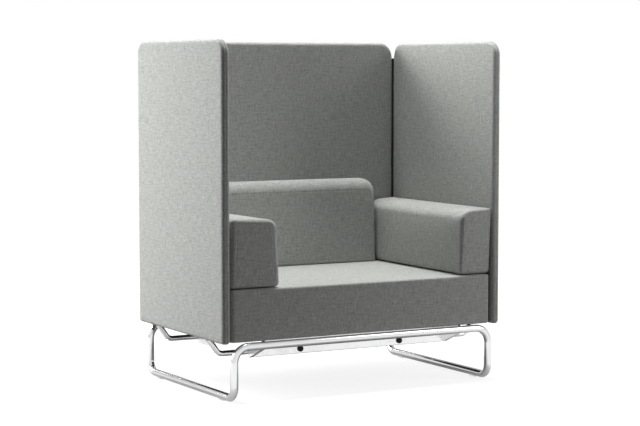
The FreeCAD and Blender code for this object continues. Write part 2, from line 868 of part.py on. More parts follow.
both_holes = corner_screws(-1, hole_clearance / 2) + corner_screws(1, hole_clearance / 2)
for piece, shape in zip(pieces, panel_parts(2 * panel_inner, [])):
    shape.rotate(V(0, 0, 0), along_z, 90)
    shape.translate(V(0, rear_panel_front + panel_thickness / 2, 0))
    nodes["rear_panel_" + piece] = drilled(shape, both_holes)

# The origin goes to the middle of the chair's plan, between the front legs and the rear panel
plan_middle = (rear_panel_rear - loop_half_depth - tube_radius) / 2

os.makedirs("parts", exist_ok=True)
for name, shape in nodes.items():
    shape.translate(V(0, -plan_middle, 0))
    volume = sum(solid.Volume for solid in shape.Solids) / 1000.0
    print(name, len(shape.Solids), "solids", round(volume, 1), "cm3", shape.isValid())
    shape.exportStep("parts/" + name + ".step")
print(len(nodes), "nodes")
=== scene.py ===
# %% [markdown]
# A lounge chair with a tall acoustic hood.
# The chair is a seat block, two arm blocks and a back cushion under three padded panels.
# All of it stands on a chrome frame of bent tube.
# The steel, the chrome and the boards could be modelled here too, but they arrive as a fixed
# frame of exact solids, which keeps every tube and hole at its true size.
# So this lesson sews and stuffs the upholstery around that frame, and gives every surface its finish.

# %% Load the fixed frame
import json
import math

import bmesh
import bpy
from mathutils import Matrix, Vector, noise


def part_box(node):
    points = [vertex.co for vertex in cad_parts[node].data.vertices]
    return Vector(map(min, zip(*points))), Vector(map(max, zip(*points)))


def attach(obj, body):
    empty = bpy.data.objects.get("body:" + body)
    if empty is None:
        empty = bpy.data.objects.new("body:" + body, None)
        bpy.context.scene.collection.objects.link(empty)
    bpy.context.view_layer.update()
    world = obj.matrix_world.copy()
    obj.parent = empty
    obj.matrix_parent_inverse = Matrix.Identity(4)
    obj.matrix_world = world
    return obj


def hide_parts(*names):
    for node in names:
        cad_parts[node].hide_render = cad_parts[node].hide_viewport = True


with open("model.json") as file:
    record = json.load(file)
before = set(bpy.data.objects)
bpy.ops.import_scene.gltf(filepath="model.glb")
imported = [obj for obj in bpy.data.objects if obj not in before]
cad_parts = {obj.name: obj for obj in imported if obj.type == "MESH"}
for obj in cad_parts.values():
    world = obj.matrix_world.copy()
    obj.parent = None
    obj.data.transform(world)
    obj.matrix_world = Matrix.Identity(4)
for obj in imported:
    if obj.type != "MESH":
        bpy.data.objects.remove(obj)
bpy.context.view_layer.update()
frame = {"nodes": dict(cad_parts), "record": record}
nodes = frame["nodes"]
print("frame holds", len(nodes), "nodes")

# %% [markdown]
# The camera stands to the left of the chair and looks slightly down, with a long lens.
# A short lens close by would make the tall panels lean apart. From far off they stay nearly
# upright, as furniture is usually shown.
# Its place was worked out from the panel edges, so it is given as plain numbers.

# %% Camera
CAMERA_PLACE = (-3.7321, -6.7075, 1.2771)
CAMERA_PITCH = 4.4566
CAMERA_YAW = 29.1916
CAMERA_LENS = 105.515
SENSOR_WIDTH = 36.0
CAMERA_REACH = 60

scene = bpy.context.scene
camera = bpy.data.objects.new("camera", bpy.data.cameras.new("camera"))
scene.collection.objects.link(camera)
camera.location = CAMERA_PLACE
camera.rotation_euler = (math.radians(90 - CAMERA_PITCH), 0, math.radians(-CAMERA_YAW))
camera.data.lens = CAMERA_LENS
camera.data.sensor_width = SENSOR_WIDTH
camera.data.clip_end = CAMERA_REACH
scene.camera = camera
scene.view_settings.view_transform = "Standard"
print("camera", CAMERA_LENS, "mm lens, yaw", CAMERA_YAW)

# %% [markdown]
# Every finish below is a small network of shader nodes.
# The network could be drawn by hand in the shader editor, or each node and link written out in
# full, but both would bury the idea. So a few helpers carry the wiring.
# The first three start a material, put a value or a link on a socket, and fetch coordinates.

# %% Start a material
def new_material(name):
    material = bpy.data.materials.new(name)
    material.use_nodes = True
    tree = material.node_tree
    tree.nodes.clear()
    return material, tree


def feed(tree, value, socket):
    """Puts a plain value on a socket, or links another node's output to it."""
    if isinstance(value, bpy.types.NodeSocket):
        tree.links.new(value, socket)
    else:
        socket.default_value = value


def coordinates(tree, kind):
    return tree.nodes.new("ShaderNodeTexCoord").outputs[kind]


print("helpers to start a material are ready")

# %% [markdown]
# A pattern is arithmetic on the place of each point.
# Image textures could hold it, but they blur close by and need a file. Node arithmetic
# stays sharp at any distance, so each operation gets a helper of one call.

# %% Arithmetic on numbers and places
def maths(tree, operation, first, second=0.0, third=0.0):
    node = tree.nodes.new("ShaderNodeMath")
    node.operation = operation
    for socket, value in zip(node.inputs, (first, second, third)):
        feed(tree, value, socket)
    return node.outputs[0]


def vector_maths(tree, operation, first, second=None):
    """Arithmetic on places. Gives all the node's outputs."""
    node = tree.nodes.new("ShaderNodeVectorMath")
    node.operation = operation
    feed(tree, first, node.inputs[0])
    if second is not None:
        feed(tree, second, node.inputs[1])
    return node.outputs


def stretched(tree, vector, scale):
    """The vector multiplied by a different number along each axis."""
    return vector_maths(tree, "MULTIPLY", vector, scale)[0]


def split(tree, vector):
    """The three numbers of a place."""
    node = tree.nodes.new("ShaderNodeSeparateXYZ")
    feed(tree, vector, node.inputs[0])
    return node.outputs


def between(tree, value, low, high):
    """Stretches nought to one over low to high."""
    return maths(tree, "MULTIPLY_ADD", value, high - low, low)


def ramp(tree, value, start, end):
    """Nought below start, one above end, and a smooth climb between."""
    node = tree.nodes.new("ShaderNodeMapRange")
    node.interpolation_type = "SMOOTHSTEP"
    feed(tree, value, node.inputs["Value"])
    node.inputs["From Min"].default_value = start
    node.inputs["From Max"].default_value = end
    return node.outputs["Result"]


print("arithmetic helpers ready")

# %% [markdown]
# Nothing real is evenly coloured. Noise gives soft random patches at any size,
# and a mix node lays two colours over them.
# The last helper joins it all to the one surface shader that every finish here uses,
# with the height pattern as a bump, because real threads of half a millimetre would be too many.

# %% Noise, colours and the surface
def cloudy(tree, vector, scale, detail=2.0, roughness=0.5):
    """Soft random patches between nought and one."""
    node = tree.nodes.new("ShaderNodeTexNoise")
    feed(tree, vector, node.inputs["Vector"])
    feed(tree, scale, node.inputs["Scale"])
    feed(tree, detail, node.inputs["Detail"])
    feed(tree, roughness, node.inputs["Roughness"])
    return node.outputs["Fac"]


def blended(tree, amount, first, second):
    """A colour between two colours."""
    node = tree.nodes.new("ShaderNodeMix")
    node.data_type = "RGBA"
    feed(tree, amount, node.inputs["Factor"])
    for colour, socket in ((first, node.inputs[6]), (second, node.inputs[7])):
        feed(tree, (*colour, 1.0), socket)
    return node.outputs[2]


def dressed(tree, height=None, depth=0.0, **values):
    """The surface shader with its plain values and links, bumps and output."""
    surface = tree.nodes.new("ShaderNodeBsdfPrincipled")
    for name, value in values.items():
        feed(tree, value, surface.inputs[name.replace("_", " ")])
    if height is not None:
        bump = tree.nodes.new("ShaderNodeBump")
        bump.inputs["Strength"].default_value = 1.0
        bump.inputs["Distance"].default_value = depth
        feed(tree, height, bump.inputs["Height"])
        feed(tree, bump.outputs[0], surface.inputs["Normal"])
    output = tree.nodes.new("ShaderNodeOutputMaterial")
    feed(tree, surface.outputs[0], output.inputs["Surface"])


print("noise, colour and surface helpers ready")

# %% [markdown]
# A group is a network with named inputs and outputs, built once and placed in several finishes.
# Copying the nodes into each material would work too, but then a change to the weave
# or the scratches has to be made in every copy.

# %% Node groups
def new_group(name, inputs, outputs):
    """An empty node group: inputs maps a name to its socket type and value."""
    group = bpy.data.node_groups.new(name, "ShaderNodeTree")
    for label, (kind, value) in inputs.items():
        socket = group.interface.new_socket(label, in_out="INPUT", socket_type=kind)
        if value is not None:
            socket.default_value = value
    for label in outputs:
        group.interface.new_socket(label, in_out="OUTPUT", socket_type="NodeSocketFloat")
    source = group.nodes.new("NodeGroupInput")
    target = group.nodes.new("NodeGroupOutput")
    return group, source.outputs, target.inputs


def placed(tree, group, **values):
    node = tree.nodes.new("ShaderNodeGroup")
    node.node_tree = group
    for name, value in values.items():
        feed(tree, value, node.inputs[name.replace("_", " ")])
    return node.outputs


print("group helpers ready")

# %% [markdown]
# A studio for pale furniture has a white floor that runs out of sight.
# A floor lit up to pure white would need so much light that the chair burns out as well.
# So the floor is a mid tone that keeps the chair's soft shadow, and it adds some white of its
# own for the camera alone. Polished tube sees that white too, but less of it close by,
# so that the underside of a chrome tube turns dark.

# %% Floor
FLOOR_SIZE = 60.0
FLOOR_TONE = 0.22
LIFT_NEAR = 0.86
LIFT_FAR = 1.0
NEAR_EDGE = 1.2
FAR_EDGE = 4.5
MIRROR_LIFT_NEAR = 0.12
MIRROR_LIFT_FAR = 0.85
MIRROR_NEAR_EDGE = 0.45
MIRROR_FAR_EDGE = 1.05

bpy.ops.object.select_all(action="DESELECT")
bpy.ops.mesh.primitive_plane_add(size=FLOOR_SIZE, location=(0, 0, 0))
floor = bpy.context.object
floor.name = "floor"
floor_material, tree = new_material("studio_floor")
distance = vector_maths(tree, "LENGTH", coordinates(tree, "Object"))["Value"]
lift = between(tree, ramp(tree, distance, NEAR_EDGE, FAR_EDGE), LIFT_NEAR, LIFT_FAR)
path = tree.nodes.new("ShaderNodeLightPath")
seen_plainly = maths(tree, "ADD", path.outputs["Is Camera Ray"], path.outputs["Is Transmission Ray"])
plain_lift = maths(tree, "MULTIPLY", maths(tree, "MINIMUM", seen_plainly, 1.0), lift)
beyond = ramp(tree, distance, MIRROR_NEAR_EDGE, MIRROR_FAR_EDGE)
mirror_lift = between(tree, beyond, MIRROR_LIFT_NEAR, MIRROR_LIFT_FAR)
dressed(
    tree,
    Base_Color=(FLOOR_TONE, FLOOR_TONE, FLOOR_TONE, 1.0),
    Roughness=0.9,
    Specular_IOR_Level=0.1,
    Emission_Color=(1.0, 1.0, 1.0, 1.0),
    Emission_Strength=maths(tree, "MULTIPLY_ADD", path.outputs["Is Glossy Ray"], mirror_lift, plain_lift),
)
floor.data.materials.append(floor_material)
print("floor", FLOOR_SIZE, "m wide")

# %% [markdown]
# The room behind the floor is white to the camera and gives no light of its own,
# so all the modelling of the blocks is left to the lamps.
# Walls and black cards could stand round the chair to draw the dark bands that chrome shows.
# Here the room itself is darker to mirrors behind the chair and overhead, which needs no extra pieces.

# %% Room
REAR_DIRECTION = (0.488, 0.873, 0.0)
REAR_DARK = 0.42
REAR_FROM = 0.45
REAR_TO = 0.92
CEILING_DARK = 0.5
CEILING_FROM = 0.55
CEILING_TO = 0.95

world = bpy.data.worlds.new("studio_room")
scene.world = world
world.use_nodes = True
tree = world.node_tree
tree.nodes.clear()
towards_rear = vector_maths(tree, "DOT_PRODUCT", coordinates(tree, "Generated"), REAR_DIRECTION)["Value"]
rear = ramp(tree, towards_rear, REAR_FROM, REAR_TO)
ceiling = ramp(tree, split(tree, coordinates(tree, "Generated"))[2], CEILING_FROM, CEILING_TO)
in_mirror = maths(tree, "MULTIPLY", between(tree, rear, 1.0, REAR_DARK), between(tree, ceiling, 1.0, CEILING_DARK))
path = tree.nodes.new("ShaderNodeLightPath")
seen_plainly = maths(tree, "ADD", path.outputs["Is Camera Ray"], path.outputs["Is Transmission Ray"])
seen = maths(tree, "MULTIPLY_ADD", path.outputs["Is Glossy Ray"], in_mirror, seen_plainly)
room = tree.nodes.new("ShaderNodeBackground")
room.inputs["Color"].default_value = (1, 1, 1, 1)
feed(tree, maths(tree, "MINIMUM", seen, 1.0), room.inputs["Strength"])
output = tree.nodes.new("ShaderNodeOutputWorld")
feed(tree, room.outputs[0], output.inputs["Surface"])
print("room is white to the camera and", REAR_DARK, "to mirrors behind the chair")

# %% [markdown]
# One big lamp would light every side alike and flatten the blocks.
# Two soft lamps overhead make the tops light, a large one at the left rear brightens the left
# panel and the upper part of the right one, and two weak ones at the right front keep the fronts grey.

# %% Lamps
CHAIR_MIDDLE = (0, 0, 0.7)
LAMPS = {
    "overhead_lamp": ((0.0, 0.5, 5.2), 2.0, 176.0),
    "near_overhead_lamp": ((0.65, 0.2, 4.1), 1.1, 86.0),
    "right_front_lamp": ((1.6, -1.6, 2.2), 0.8, 9.0),
    "low_front_lamp": ((2.0, -2.0, 1.2), 0.8, 17.0),
    "left_rear_lamp": ((-3.5, 3.0, 2.5), 3.0, 388.0),
}


def soft_lamp(name, place, size, power):
    """A square soft lamp that points at the middle of the chair."""
    data = bpy.data.lights.new(name, "AREA")
    data.shape = "SQUARE"
    data.size = size
    data.energy = power
    lamp = bpy.data.objects.new(name, data)
    scene.collection.objects.link(lamp)
    lamp.location = place
    lamp.rotation_euler = (Vector(CHAIR_MIDDLE) - Vector(place)).to_track_quat("-Z", "Y").to_euler()
    print(name, power, "W")


for name, (place, size, power) in LAMPS.items():
    soft_lamp(name, place, size, power)

# %% [markdown]
# The cover is a melange cloth: each thread is spun from light and dark fibres.
# Close by it is a plain weave, over one and under one. A checker of waves could stand for it,
# but warp and weft would then look alike. So the group works out which thread lies on top
# at each crossing, in metres on the piece's own UV map, and gives that thread its round height.

# %% The weave group: threads over and under
group, given, result = new_group(
    "plain_weave",
    {
        "Vector": ("NodeSocketVector", None),
        "Threads per metre": ("NodeSocketFloat", 700.0),
        "Mottle size": ("NodeSocketFloat", 0.009),
    },
    ("Height", "Thread shade", "Mottle"),
)
plain_weave = group
tree = group
scaled_node = tree.nodes.new("ShaderNodeVectorMath")
scaled_node.operation = "SCALE"
feed(tree, given["Vector"], scaled_node.inputs[0])
feed(tree, given["Threads per metre"], scaled_node.inputs["Scale"])
scaled = scaled_node.outputs[0]
across, along = split(tree, scaled)[:2]
cells = maths(tree, "ADD", maths(tree, "FLOOR", across), maths(tree, "FLOOR", along))
weft_on_top = maths(tree, "FLOORED_MODULO", cells, 2.0)


def thread_profile(position):
    """A round hump over each thread's width."""
    return maths(tree, "SINE", maths(tree, "MULTIPLY", maths(tree, "FRACT", position), math.pi))


def thread_height(hump, crossing_hump):
    """The thread's own round, which dips towards the ends of each crossing."""
    return maths(tree, "MULTIPLY", maths(tree, "SQRT", hump), between(tree, crossing_hump, 0.5, 1.0))


def by_thread(warp_value, weft_value):
    """The weft's value where the weft lies on top, and the warp's elsewhere."""
    change = maths(tree, "SUBTRACT", weft_value, warp_value)
    return maths(tree, "MULTIPLY_ADD", change, weft_on_top, warp_value)


warp_hump = thread_profile(across)
weft_hump = thread_profile(along)
height = by_thread(thread_height(warp_hump, weft_hump), thread_height(weft_hump, warp_hump))
feed(tree, height, result["Height"])
print("threads cross in", len(tree.nodes), "nodes")

# %% [markdown]
# From further off the weave melts away, and what is left is a fine mottle with short streaks
# along the threads. Plain noise alone looks like stone. So the fibres are noise drawn out along
# each thread, and the mottle is round spots mixed with slubs, the thick places in a yarn.

# %% The weave group: fibres and mottle
ALONG_WARP = (1.0, 0.09, 1.0)
ALONG_WEFT = (0.09, 1.0, 1.0)
FIBRE_SCALE = 0.9
WARP_SLUB = (1.5, 0.22, 1.0)
WEFT_SLUB = (0.22, 1.5, 1.0)
SLUB_SHARE = 0.3
SPOT_SHARE = 0.4

warp_fibres = cloudy(tree, stretched(tree, scaled, ALONG_WARP), FIBRE_SCALE, 3.0, 0.6)
weft_fibres = cloudy(tree, stretched(tree, scaled, ALONG_WEFT), FIBRE_SCALE, 3.0, 0.6)
feed(tree, by_thread(warp_fibres, weft_fibres), result["Thread shade"])
spots_per_metre = maths(tree, "DIVIDE", 1.0, given["Mottle size"])
spots = cloudy(tree, given["Vector"], spots_per_metre, 3.0, 0.65)
weft_slubs = cloudy(tree, stretched(tree, given["Vector"], WEFT_SLUB), spots_per_metre)
warp_slubs = cloudy(tree, stretched(tree, given["Vector"], WARP_SLUB), spots_per_metre)
slubs = maths(tree, "ADD", weft_slubs, warp_slubs)
mottle = maths(tree, "MULTIPLY_ADD", slubs, SLUB_SHARE, maths(tree, "MULTIPLY", spots, SPOT_SHARE))
feed(tree, mottle, result["Mottle"])
print("weave group has", len(tree.nodes), "nodes")

# %% [markdown]
# The cloth's colour lies between the darkest and the lightest of its fibres.
# Each pattern pushes it one way or the other, so the average stays a neutral light grey,
# which a single grey with noise in its brightness would not.
# The weave's height also adds painted shade in the valleys between threads and a painted highlight on their
# crests.
# A little sheen stands for the short fibres that catch light along the edges.

# %% Melange fabric
DARK_FIBRE = (0.195, 0.202, 0.190)
LIGHT_FIBRE = (0.600, 0.612, 0.587)
THREAD_STRENGTH = 0.55
MOTTLE_STRENGTH = 1.9
# Painted shade and highlight of the weave: the colour is darker where the threads dip and lighter where they
# crest.
PAINTED_VALLEY_SHADE = -0.12
PAINTED_CREST_HIGHLIGHT = 0.06
WEAVE_DEPTH = 0.00035
MOTTLE_RELIEF = 3.5

fabric, tree = new_material("melange_fabric")
woven = placed(tree, plain_weave, Vector=coordinates(tree, "UV"))
shade = maths(tree, "MULTIPLY_ADD", woven["Thread shade"], THREAD_STRENGTH, 0.5 - THREAD_STRENGTH / 2)
mottle = maths(tree, "MULTIPLY_ADD", woven["Mottle"], MOTTLE_STRENGTH, -MOTTLE_STRENGTH / 2)
# Painted shade in the weave's valleys and a painted highlight on its crests, added to the fibre tone.
painted_relief_shade = between(tree, woven["Height"], PAINTED_VALLEY_SHADE, PAINTED_CREST_HIGHLIGHT)
fibre_tone_and_painted_shade = maths(tree, "ADD", maths(tree, "ADD", shade, mottle), painted_relief_shade)
dressed(
    tree,
    height=maths(tree, "MULTIPLY_ADD", woven["Mottle"], MOTTLE_RELIEF, woven["Height"]),
    depth=WEAVE_DEPTH,
    Base_Color=blended(tree, fibre_tone_and_painted_shade, DARK_FIBRE, LIGHT_FIBRE),
    Roughness=between(tree, woven["Mottle"], 0.98, 0.78),
    Specular_IOR_Level=0.25,
    Sheen_Weight=0.12,
    Sheen_Roughness=0.45,
)
print("fabric between", DARK_FIBRE, "and", LIGHT_FIBRE)

# %% [markdown]
# Metal is told by its reflections, so its detail is mostly in how clear they are.
# One even roughness looks like a toy. So one group serves every metal here: it gives faint
# smudges from hands and cloths, and fine scratches that run two ways and gather near the floor,
# where shoes meet the frame.

# %% The handled metal group
SMUDGE_FROM = 0.42
SMUDGE_TO = 0.72
SCRATCH_FROM = 0.66
SCRATCH_TO = 0.78
SCRATCH_ONE_WAY = (1400.0, 60.0, 300.0)
SCRATCH_OTHER_WAY = (70.0, 1300.0, 250.0)
SCUFF_LIMIT = 0.85

group, given, result = new_group(
    "handled_metal",
    {
        "Vector": ("NodeSocketVector", None),
        "Scuff height": ("NodeSocketFloat", 0.05),
    },
    ("Smudge", "Scratch"),
)
handled_metal = group
tree = group
broad = cloudy(tree, given["Vector"], 14.0, 3.0, 0.6)
fine = cloudy(tree, given["Vector"], 90.0)
smudges = maths(tree, "MULTIPLY_ADD", fine, 0.25, maths(tree, "MULTIPLY", broad, 0.75))
feed(tree, ramp(tree, smudges, SMUDGE_FROM, SMUDGE_TO), result["Smudge"])
first = cloudy(tree, stretched(tree, given["Vector"], SCRATCH_ONE_WAY), 1.0, 1.0)
second = cloudy(tree, stretched(tree, given["Vector"], SCRATCH_OTHER_WAY), 1.0, 1.0)
lines = ramp(tree, maths(tree, "MAXIMUM", first, second), SCRATCH_FROM, SCRATCH_TO)
rising = maths(tree, "DIVIDE", split(tree, given["Vector"])[2], given["Scuff height"])
low_down = maths(tree, "SUBTRACT", 1.0, maths(tree, "MINIMUM", rising, SCUFF_LIMIT))
feed(tree, maths(tree, "MULTIPLY", lines, low_down), result["Scratch"])
print("handled metal group has", len(tree.nodes), "nodes")

# %% [markdown]
# The frame is polished chrome, the folded parts are silver steel, the bolts are zinc plated
# and the corner angles have a black powder coat.
# They could be four unrelated materials. One recipe with different colours and roughness
# is enough, because what tells them apart is how much each blurs the room.

# %% Chrome, silver steel, zinc and black steel
def metal(name, colour, worn_colour, rough, smudged_rough, metallic, depth):
    """A metal finish whose roughness and tone follow the smudges and scratches."""
    material, tree = new_material(name)
    handled = placed(tree, handled_metal, Vector=coordinates(tree, "Object"))
    wear = maths(tree, "MULTIPLY_ADD", handled["Scratch"], 0.6, maths(tree, "MULTIPLY", handled["Smudge"], 0.4))
    dressed(
        tree,
        height=handled["Scratch"],
        depth=-depth,
        Base_Color=blended(tree, wear, colour, worn_colour),
        Metallic=metallic,
        Roughness=between(tree, wear, rough, smudged_rough),
    )
    print(name, "roughness", rough, "to", smudged_rough)
    return material


chrome = metal("polished_chrome", (0.74, 0.745, 0.75), (0.66, 0.66, 0.67), 0.05, 0.16, 1.0, 0.0000004)
steel = metal("silver_steel", (0.80, 0.80, 0.81), (0.70, 0.70, 0.70), 0.20, 0.38, 1.0, 0.00002)
zinc = metal("zinc_plate", (0.66, 0.66, 0.64), (0.50, 0.50, 0.47), 0.28, 0.50, 1.0, 0.00002)
black_steel = metal("black_powder_coat", (0.022, 0.022, 0.022), (0.05, 0.05, 0.05), 0.42, 0.60, 0.0, 0.00003)

# %% [markdown]
# Moulded plastic, foam, straps and board all have a small random grain.
# Each could get a pattern of its own, but most of them are hardly seen.
# So a second group gives grain at any size, and patches that vary the tone slowly.

# %% The fine grain group
group, given, result = new_group(
    "fine_grain",
    {
        "Vector": ("NodeSocketVector", None),
        "Grains per metre": ("NodeSocketFloat", 1500.0),
        "Patches per metre": ("NodeSocketFloat", 12.0),
    },
    ("Grain", "Patches"),
)
fine_grain = group
tree = group
feed(tree, cloudy(tree, given["Vector"], given["Grains per metre"], 1.0), result["Grain"])
feed(tree, cloudy(tree, given["Vector"], given["Patches per metre"], 3.0, 0.6), result["Patches"])
print("fine grain group has", len(tree.nodes), "nodes")

# %% [markdown]
# The caps on the bolts are black plastic and the shoes under the tube are clear plastic.
# Inside the blocks are foam, plywood and elastic straps, with a black cloth underneath.
# One recipe with a stretch along the grain makes all six. A wood texture would show rings
# that rotary-cut plywood doesn't have, so long soft streaks do better.

# %% Plastics, foam, board, strap and bottom cloth
ALONG_BOARD = (1.0, 0.08, 1.0)
ROUGH_SPREAD = 0.08


def grained(name, dark, light, rough, grains, depth, stretch=(1.0, 1.0, 1.0), **extra):
    """A plain stuff whose tone and roughness follow its grain and patches."""
    material, tree = new_material(name)
    vector = stretched(tree, coordinates(tree, "Object"), stretch)
    grain = placed(tree, fine_grain, Vector=vector, Grains_per_metre=grains)
    tone = maths(tree, "MULTIPLY_ADD", grain["Grain"], 0.4, maths(tree, "MULTIPLY", grain["Patches"], 0.6))
    dressed(
        tree,
        height=grain["Grain"],
        depth=depth,
        Base_Color=blended(tree, tone, dark, light),
        Roughness=between(tree, grain["Patches"], rough - ROUGH_SPREAD, rough + ROUGH_SPREAD),
        **extra,
    )
    print(name, grains, "grains per metre")
    return material


black_plastic = grained("black_plastic", (0.002, 0.002, 0.002), (0.008, 0.008, 0.008), 0.34, 2500.0, 0.00002,
                        Specular_IOR_Level=0.2)
clear_plastic = grained("clear_glide_plastic", (0.80, 0.81, 0.81), (0.95, 0.96, 0.96), 0.22, 2000.0, 0.00001,
                        Transmission_Weight=0.92, IOR=1.47)
foam = grained("cut_foam", (0.70, 0.67, 0.50), (0.90, 0.88, 0.74), 0.92, 900.0, 0.0004)
board = grained("plywood_board", (0.45, 0.33, 0.19), (0.72, 0.57, 0.38), 0.62, 500.0, 0.0001, ALONG_BOARD)
strap = grained("elastic_strap", (0.02, 0.02, 0.022), (0.10, 0.10, 0.105), 0.85, 1200.0, 0.0003)
bottom_cloth = grained("black_nonwoven_cloth", (0.008, 0.008, 0.008), (0.045, 0.045, 0.045), 0.9, 1600.0, 0.0002)

# %% [markdown]
# Each node of the fixed frame names the slot that its finish comes from.
# The nodes could be dressed one by one, but one table from slot to finish dresses them all,
# so no node is forgotten.

# %% Dress the fixed frame
FINISHES = {
    "fabric": fabric,
    "black_cloth": bottom_cloth,
    "foam": foam,
    "board": board,
    "strap": strap,
    "chrome": chrome,
    "steel": steel,
    "zinc": zinc,
    "black_plastic": black_plastic,
    "clear_plastic": clear_plastic,
    "black_steel": black_steel,
}
for subpart in frame["record"]["subparts"]:
    shape = nodes[subpart["node"]]
    if not shape.material_slots:
        shape.data.materials.append(None)
    for place in shape.material_slots:
        place.material = FINISHES[subpart["material_slot"]]

# %% [markdown]
# The upholstery is modelled as by hand: a box the size of the block, pushed to its taper,
# with rounded edges, a sewn groove where two pieces of cloth meet, and rows of cuts.
# Sculpting would give softer shapes, but not blocks that sit a few millimetres apart.
# These helpers enter edit mode, choose by place or direction, and push or round what is chosen.

# %% Choose, push and round
CLOSE = 0.001


def begin(piece):
    """Edit mode on this piece alone."""
    bpy.ops.object.select_all(action="DESELECT")
    bpy.context.view_layer.objects.active = piece
    piece.select_set(True)
    bpy.ops.object.mode_set(mode="EDIT")


def end():
    bpy.ops.object.mode_set(mode="OBJECT")


def choose(piece, kind, test):
    """Selects the vertices, edges or faces that pass the test, and nothing else."""
    bpy.ops.mesh.select_mode(type=kind)
    bpy.ops.mesh.select_all(action="DESELECT")
    mesh = bmesh.from_edit_mesh(piece.data)
    for item in {"VERT": mesh.verts, "EDGE": mesh.edges, "FACE": mesh.faces}[kind]:
        if test(item):
            item.select_set(True)
    bmesh.update_edit_mesh(piece.data)


def box_piece(name, low, high):
    """A box between two corners, with its place in its mesh."""
    middle = (Vector(low) + Vector(high)) / 2
    size = Vector(high) - Vector(low)
    bpy.ops.object.select_all(action="DESELECT")
    bpy.ops.mesh.primitive_cube_add(size=1, location=middle, scale=size)
    piece = bpy.context.object
    piece.name = name
    bpy.ops.object.transform_apply(location=True, rotation=True, scale=True)
    return piece


def push(piece, test, offset):
    """Moves the chosen corners of a piece in edit mode."""
    choose(piece, "VERT", test)
    bpy.ops.transform.translate(value=offset)


def round_off(piece, radius, segments, test):
    """Rounds the chosen edges of a piece in edit mode."""
    choose(piece, "EDGE", test)
    bpy.ops.mesh.bevel(offset_type="OFFSET", offset=radius, segments=segments, affect="EDGES",
                       clamp_overlap=False)


def along_axis(edge, axis):
    first, second = (vertex.co for vertex in edge.verts)
    return abs((second - first).normalized()[axis]) > 0.99


def on_plane(edge, axis, place):
    return all(abs(vertex.co[axis] - place) < CLOSE / 2 for vertex in edge.verts)


print("helpers to choose, push and round are ready")

# %% [markdown]
# The edges of a cushion aren't alike: one is a big soft round and the next is tight.
# Rounding them in turn leaves knots where two radii meet. The bevel modifier takes a weight for
# each edge, so all of them are rounded at once and the corners stay clean.

# %% Round each edge by its own radius
def round_by_weight(piece, widest, segments, radius_of):
    """Rounds every edge by its own radius, which radius_of gives in metres."""
    weights = piece.data.attributes.new("bevel_weight_edge", "FLOAT", "EDGE")
    for edge in piece.data.edges:
        first, second = (piece.data.vertices[index].co for index in edge.vertices)
        weights.data[edge.index].value = radius_of(first, second) / widest
    bevel = piece.modifiers.new("rounding", "BEVEL")
    bevel.width = widest
    bevel.segments = segments
    bevel.limit_method = "WEIGHT"
    bevel.use_clamp_overlap = False
    bpy.context.view_layer.objects.active = piece
    bpy.ops.object.modifier_apply(modifier="rounding")
    leftover = piece.data.attributes.get("bevel_weight_edge")
    if leftover:
        piece.data.attributes.remove(leftover)


def runs_along(first, second, axis):
    return abs((second - first).normalized()[axis]) > 0.9


print("weighted rounding ready")

# %% [markdown]
# A seam shows as a narrow valley, because its stitches draw both cloths down.
# It could be painted as a dark line, but then it wouldn't catch the light. Three insets cut it
# for real: a margin, a step down and a step up. Its corners are marked as sewn down,
# so that stuffing can't lift them. The rows of cuts give the cloth somewhere to bend.

# %% Seams and rows
SEAM_MARGIN = 0.003
SEAM_HALF_WIDTH = 0.0011
SEAM_DEPTH = 0.0014
SEAM_STEPS = ((SEAM_MARGIN, 0), (SEAM_HALF_WIDTH, -SEAM_DEPTH), (SEAM_HALF_WIDTH, SEAM_DEPTH))
SMALLEST_FRONT = 0.01


def sew_round(piece, test):
    """A sewn groove just inside the outline of the chosen flat face."""
    choose(piece, "FACE", test)
    if not piece.vertex_groups:
        piece.vertex_groups.new(name="held")
    for thickness, depth in SEAM_STEPS:
        bpy.ops.mesh.inset(thickness=thickness, depth=depth)
        bpy.ops.object.vertex_group_assign()


def flat_front(face):
    return face.normal.y < -0.98 and face.calc_area() > SMALLEST_FRONT


def cut_rows(piece, axis, first, last, step):
    """Cuts the whole piece across one axis, evenly from first to last, about a step apart."""
    count = max(int(round((last - first) / step)), 1)
    normal = [0.0, 0.0, 0.0]
    normal[axis] = 1.0
    for i in range(count + 1):
        point = [0.0, 0.0, 0.0]
        point[axis] = first + (last - first) * i / count
        bpy.ops.mesh.select_all(action="SELECT")
        bpy.ops.mesh.bisect(plane_co=point, plane_no=normal)


def keep(piece):
    """Ends edit mode and puts the piece on the list to be stuffed."""
    end()
    pieces[piece.name] = piece
    print(piece.name, len(piece.data.polygons), "faces")


pieces = {}
print("sewing helpers ready")

# %% [markdown]
# A hood panel is a thin board with foam all round it in a sewn sleeve.
# Its outline has large round corners at the top and small ones at the foot, and its rim is soft.
# A flat outline given thickness by Solidify would have the same rim everywhere. A box lets the
# edges at the corner joints stay tighter, and keeps a band free for the seam between the two cloths.

# %% The seam round a panel's rim
RIM_SEAM_MARGIN = 0.0012
RIM_SEAM_HALF = 0.0007
RIM_BAND = 0.005


def seam_round_rim(piece, thin, middle):
    """A groove along the middle of the panel's edge, where its two cloths are sewn together."""
    def on_band(face):
        return abs(face.normal[thin]) < 0.02 and abs(face.calc_center_median()[thin] - middle) < RIM_BAND
    choose(piece, "FACE", on_band)
    bpy.ops.mesh.inset(thickness=RIM_SEAM_MARGIN, depth=0)
    bpy.ops.mesh.inset(thickness=RIM_SEAM_HALF, depth=-SEAM_DEPTH)


print("rim seam", RIM_SEAM_HALF * 2000, "mm wide")

# %% [markdown]
# Each panel starts from the box of its plain cover. Foam pushes the outer side a few
# millimetres proud, and the right panel stands a little further out than its board.
# A copy of one panel would do for all three, but the rear one lies crosswise
# and its joints are at its sides, so one function builds each in place.

